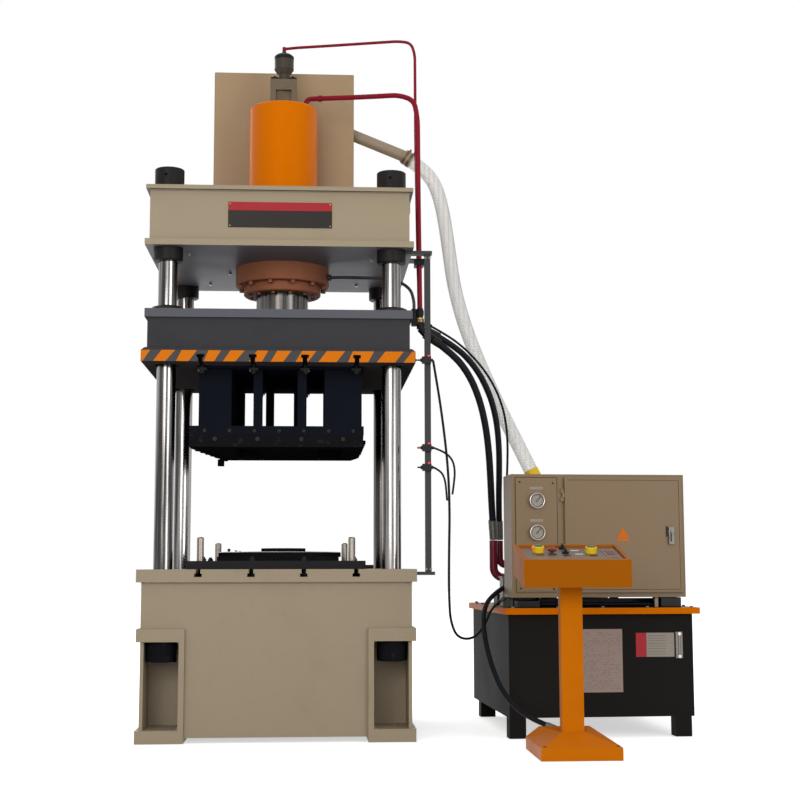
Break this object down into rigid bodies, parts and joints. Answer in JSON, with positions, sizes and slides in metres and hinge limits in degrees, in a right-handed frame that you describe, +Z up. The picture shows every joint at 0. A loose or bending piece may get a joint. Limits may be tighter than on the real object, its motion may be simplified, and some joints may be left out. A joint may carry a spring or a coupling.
{
  "type": "hydraulic press",
  "caption": "Four-column hydraulic moulding press with sliding platen, split mould, side power unit with oil tank and gauge cabinet, hoses and a free-standing two-hand control console",
  "frame": {"origin": "on the floor at the centre of the four anchor holes of the press bed, on the press axis", "axes": "+X to the operator's right, +Y away from the operator, +Z up"},
  "size_m": [2.7014, 1.9358, 3.571],
  "materials": {
    "beige_paint": "satin stone-grey paint",
    "column_chrome": "hard chrome, ground",
    "black_steel": "blackened steel",
    "orange_paint": "gloss orange paint",
    "rust_steel": "oiled brown steel",
    "grey_hose": "grey reinforced plastic",
    "red_paint": "dark red paint",
    "black_paint": "black paint",
    "switch_plastic": "black case",
    "slide_paint": "dark grey paint",
    "bronze": "turned bronze",
    "rod_chrome": "ground chrome",
    "mould_paint": "dark blue paint",
    "mould_steel": "milled tool steel",
    "sight_gauge": "clear-fronted level gauge",
    "black_plastic": "black moulded plastic",
    "needle": "black needle",
    "motor_cast": "painted casting",
    "green_plastic": "green cap",
    "red_plastic": "dark red cap",
    "yellow_plastic": "yellow collar",
    "panel_steel": "brushed plate",
    "clear_plastic": "clear reinforced hose",
    "hose_rubber": "black rubber"
  },
  "bodies": {
    "frame": {"bed_frame": "beige_paint", "tie_columns": "column_chrome", "lower_nuts": "black_steel", "crown_nuts": "black_steel", "crown_frame": "beige_paint", "cylinder_barrel": "orange_paint", "cylinder_flange": "rust_steel", "gland_ring": "rust_steel", "cylinder_bolts": "black_steel", "prefill_valve": "orange_paint", "pilot_cap": "black_steel", "top_tank": "beige_paint", "tank_outlet": "grey_hose", "main_pipe": "red_paint", "pilot_pipe": "red_paint", "rod_side_pipe": "red_paint", "pipe_fittings": "black_steel", "switch_rail": "black_paint", "limit_switches": "switch_plastic", "guide_pins": "rod_chrome", "lower_bolster": "mould_paint", "lower_mould": "mould_steel", "bed_bolts": "black_steel", "reservoir_tank": "black_paint", "reservoir_lid": "beige_paint", "level_gauge": "sight_gauge", "cabinet_shell": "beige_paint", "gauge_panel": "beige_paint", "gauge_cases": "black_plastic", "control_gear": "black_plastic", "pump_bell": "motor_cast", "drive_motor": "motor_cast", "valve_manifold": "black_steel", "pressure_elbows": "red_paint", "console_stand": "black_paint", "console_box": "beige_paint", "button_guards": "yellow_plastic", "control_panel": "panel_steel", "clear_hose": "clear_plastic", "pressure_hose_1": "hose_rubber", "pressure_hose_2": "hose_rubber", "pilot_hose": "hose_rubber", "console_cable": "hose_rubber", "switch_leads": "hose_rubber", "hose_ends": "black_steel"},
    "slide": {"slide_frame": "slide_paint", "guide_bushes": "bronze", "piston_rod": "rod_chrome", "slide_bolts": "black_steel", "upper_mould_frame": "mould_paint", "upper_mould": "mould_steel"},
    "door": {"cabinet_door": "beige_paint"},
    "handle": {"door_handle": "black_plastic"},
    "needle_upper": {"upper_needle": "needle"},
    "needle_lower": {"lower_needle": "needle"},
    "palm_left": {"palm_button_left": "green_plastic"},
    "palm_right": {"palm_button_right": "green_plastic"},
    "stop": {"stop_button": "red_plastic"},
    "knob_left": {"selector_knob_left": "black_plastic"},
    "knob_right": {"selector_knob_right": "black_plastic"}
  },
  "joints": [
    {"name": "press_stroke", "type": "slide", "parent": "frame", "child": "slide", "axis": [0, 0, 1], "range_m": [-0.385, 0.12]},
    {"name": "door_hinge", "type": "hinge", "parent": "frame", "child": "door", "pos_m": [1.38698, -0.44465, 0.97], "axis": [0, 0, 1], "range_deg": [-72, 0]},
    {"name": "handle_turn", "type": "hinge", "parent": "door", "child": "handle", "pos_m": [1.92261, -0.44729, 0.985], "axis": [-0.0436, 0.999, 0], "range_deg": [0, 90]},
    {"name": "upper_dial", "type": "hinge", "parent": "frame", "child": "needle_upper", "pos_m": [1.25672, -0.46435, 1.133], "axis": [-0.0436, 0.999, 0], "range_deg": [-170, 95]},
    {"name": "lower_dial", "type": "hinge", "parent": "frame", "child": "needle_lower", "pos_m": [1.25672, -0.46435, 0.978], "axis": [-0.0436, 0.999, 0], "range_deg": [-170, 95]},
    {"name": "palm_left_press", "type": "slide", "parent": "frame", "child": "palm_left", "axis": [0, -0.2272, 0.9738], "range_m": [-0.006, 0], "stiffness_N_per_m": 400, "springref_m": 0.004},
    {"name": "palm_right_press", "type": "slide", "parent": "frame", "child": "palm_right", "axis": [0, -0.2272, 0.9738], "range_m": [-0.006, 0], "stiffness_N_per_m": 400, "springref_m": 0.004},
    {"name": "stop_press", "type": "slide", "parent": "frame", "child": "stop", "axis": [0, -0.2272, 0.9738], "range_m": [-0.006, 0], "stiffness_N_per_m": 400, "springref_m": 0.004},
    {"name": "knob_left_turn", "type": "hinge", "parent": "frame", "child": "knob_left", "pos_m": [1.275, -1.03, 0.89173], "axis": [0, -0.2272, 0.9738], "range_deg": [-90, 0]},
    {"name": "knob_right_turn", "type": "hinge", "parent": "frame", "child": "knob_right", "pos_m": [1.274, -1.12, 0.87073], "axis": [0, -0.2272, 0.9738], "range_deg": [-90, 0]}
  ]
}
